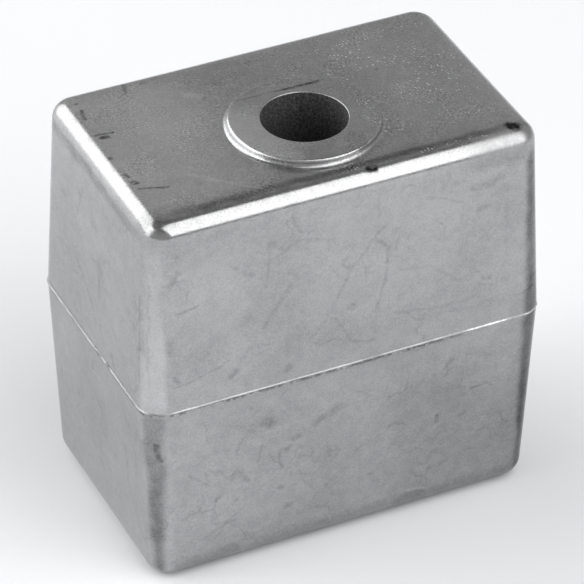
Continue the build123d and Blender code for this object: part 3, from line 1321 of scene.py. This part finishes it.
    def material(self) -> bpy.types.Material:
        """Makes the material of the casting.

        Returns:
            The material.
        """
        material, sheet, shader = new_finish("cast_zinc")
        sheet.feed(1.0, shader.inputs["Metallic"])
        where = sheet.scaled(sheet.add("ShaderNodeTexCoord").outputs["Object"], 1.0 / METRES)
        mottle = sheet.noise(where, *self.mottle_noise)
        grain = sheet.noise(where, *self.grain_noise)
        haze = sheet.noise(where, *self.haze_noise)
        specks = self.specks(sheet, where)
        tone = self.tone(sheet, where, mottle, grain, specks)
        sheet.feed(sheet.scaled(self.colour, tone), shader.inputs["Base Color"])
        rough = sheet.span(haze, *self.haze_rise, self.roughness - self.haze, self.roughness + self.haze)
        rough = sheet.maths(Maths.ADD, rough, sheet.painted("hazed"))
        for name, roughness in (("flash", self.flash_roughness), ("mouth", self.mouth_roughness),
                                ("bore", self.bore_roughness)):
            rough = sheet.blend(sheet.painted(name), rough, roughness)
        sheet.feed(rough, shader.inputs["Roughness"])
        bump = sheet.add("ShaderNodeBump")
        sheet.feed(1.0, bump.inputs["Strength"])
        sheet.feed(self.grain_depth * METRES, bump.inputs["Distance"])
        height = sheet.maths(Maths.ADD, grain, sheet.product(specks, self.speck_height))
        sheet.feed(height, bump.inputs["Height"])
        sheet.feed(bump.outputs[0], shader.inputs["Normal"])
        return material


@dataclass(frozen=True)
class Softbox:
    """A large soft lamp, by its direction and distance from the block's middle."""

    name: str
    azimuth: float
    elevation: float
    distance: float
    width: float
    height: float
    radiance: float


def direction(azimuth: float, elevation: float) -> Vector:
    """Unit vector towards a bearing: azimuth 0 is along -y and 90 along +x, elevation is over the floor."""
    a, e = math.radians(azimuth), math.radians(elevation)
    return Vector((math.sin(a) * math.cos(e), -math.cos(a) * math.cos(e), math.sin(e)))


@dataclass(frozen=True)
class Studio:
    """Pale floor, soft lamps and a dim surround."""

    floor_size: float = 4.0
    floor_colour: tuple[float, float, float, float] = (0.89, 0.9, 0.915, 1.0)
    floor_roughness: float = 0.9
    floor_drop: float = 0.00002
    softboxes: tuple[Softbox, ...] = (
        Softbox("front_softbox", 32.0, 47.5, 1.0, 0.86, 1.38, 2.25),
        Softbox("back_left_softbox", 222.0, 32.5, 1.0, 1.25, 0.86, 1.95),
        Softbox("low_back_left_softbox", 222.0, 5.5, 1.0, 1.25, 0.2, 0.75),
        Softbox("left_softbox", -95.0, 24.0, 1.0, 0.42, 0.96, 1.9),
    )
    sky: tuple[tuple[float, float], ...] = ((0.0, 0.465), (0.55, 0.452), (0.85, 0.20))
    aim: tuple[float, float, float] = (0.0, 0.0, 0.035)

    def build(self) -> None:
        """Sets up the floor, the lamps and the surround."""
        self.floor()
        for box in self.softboxes:
            self.lamp(box)
        self.surround()

    def floor(self) -> None:
        """A plain pale floor just under the block."""
        half = self.floor_size / 2
        mesh = bpy.data.meshes.new("floor")
        corners = [(-half, -half, 0), (half, -half, 0), (half, half, 0), (-half, half, 0)]
        mesh.from_pydata(corners, [], [(0, 1, 2, 3)])
        floor = bpy.data.objects.new("floor", mesh)
        floor.location.z = -self.floor_drop
        bpy.context.scene.collection.objects.link(floor)
        material, sheet, shader = new_finish("pale_floor")
        sheet.feed(self.floor_colour, shader.inputs["Base Color"])
        sheet.feed(self.floor_roughness, shader.inputs["Roughness"])
        mesh.materials.append(material)

    def lamp(self, box: Softbox) -> None:
        """One area lamp, turned towards the block, with its power worked out from its radiance.

        Args:
            box: the lamp's sizes and place.
        """
        data = bpy.data.lights.new(box.name, "AREA")
        data.shape = "RECTANGLE"
        data.size = box.width
        data.size_y = box.height
        data.energy = box.radiance * math.pi * box.width * box.height
        lamp = bpy.data.objects.new(box.name, data)
        towards = direction(box.azimuth, box.elevation)
        lamp.location = Vector(self.aim) + towards * box.distance
        lamp.rotation_mode = "QUATERNION"
        lamp.rotation_quaternion = towards.to_track_quat("Z", "Y")
        bpy.context.scene.collection.objects.link(lamp)

    def surround(self) -> None:
        """A surround that is pale at the horizon and dimmer overhead."""
        world = bpy.data.worlds.new("surround")
        bpy.context.scene.world = world
        world.use_nodes = True
        sheet = NodeSheet(world.node_tree)
        split = sheet.add("ShaderNodeSeparateXYZ")
        ramp = sheet.add("ShaderNodeValToRGB")
        shade = sheet.add("ShaderNodeBackground")
        sheet.feed(sheet.add("ShaderNodeTexCoord").outputs["Generated"], split.inputs[0])
        sheet.feed(split.outputs["Z"], ramp.inputs[0])
        sheet.feed(ramp.outputs[0], shade.inputs[0])
        sheet.feed(shade.outputs[0], sheet.add("ShaderNodeOutputWorld").inputs[0])
        ramp.color_ramp.elements.new(0.5)
        for stop, (position, grey) in zip(ramp.color_ramp.elements, self.sky):
            stop.position = position
            stop.color = (grey, grey, grey, 1.0)


@dataclass(frozen=True)
class Viewpoint:
    """The photograph's viewpoint, worked out from the block's outline in it."""

    azimuth: float = -25.538
    elevation: float = 36.236
    roll: float = 0.438
    distance: float = 0.64753
    focal_pixels: float = 4178.6
    frame_pixels: float = 584.0
    shift_right_pixels: float = -0.53
    shift_down_pixels: float = -1.69
    sensor: float = 36.0
    clip_start: float = 0.05

    def build(self, target: Vector) -> None:
        """Makes the camera and gives it to the scene.

        The camera's back axis is the bearing, its right axis lies level, and both of its other axes are
        then turned by the roll.

        Args:
            target: the point that the fitted viewpoint looks at, in metres.
        """
        back = direction(self.azimuth, self.elevation)
        right = Vector((math.cos(math.radians(self.azimuth)), math.sin(math.radians(self.azimuth)), 0.0))
        up = back.cross(right)
        c, s = math.cos(math.radians(self.roll)), math.sin(math.radians(self.roll))
        rolled_right = right * c + up * s
        rolled_up = up * c - right * s
        data = bpy.data.cameras.new("camera")
        data.sensor_width = self.sensor
        data.lens = self.focal_pixels / self.frame_pixels * self.sensor
        data.shift_x = -self.shift_right_pixels / self.frame_pixels
        data.shift_y = self.shift_down_pixels / self.frame_pixels
        data.clip_start = self.clip_start
        camera = bpy.data.objects.new("camera", data)
        camera.matrix_world = Matrix.Translation(target + back * self.distance) @ Matrix(
            (rolled_right, rolled_up, back)
        ).transposed().to_4x4()
        bpy.context.scene.collection.objects.link(camera)
        bpy.context.scene.camera = camera


def main() -> None:
    """Builds the viewpoint, the casting and the studio."""
    logging.basicConfig(level=logging.INFO, format="%(message)s")
    bpy.context.scene.view_settings.view_transform = "Standard"
    sizes = BlockSizes.from_frame(frame["record"])
    Viewpoint().build(Vector((0.0, 0.0, sizes.parting_level * METRES)))
    casting = CastBlock(sizes, RoundedPlan(), RowCounts()).build()
    casting.data.materials.append(CastZinc().material())
    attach(casting, "root")
    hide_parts(BLOCK_NODE)
    Studio().build()


if __name__ == "__main__":
    main()
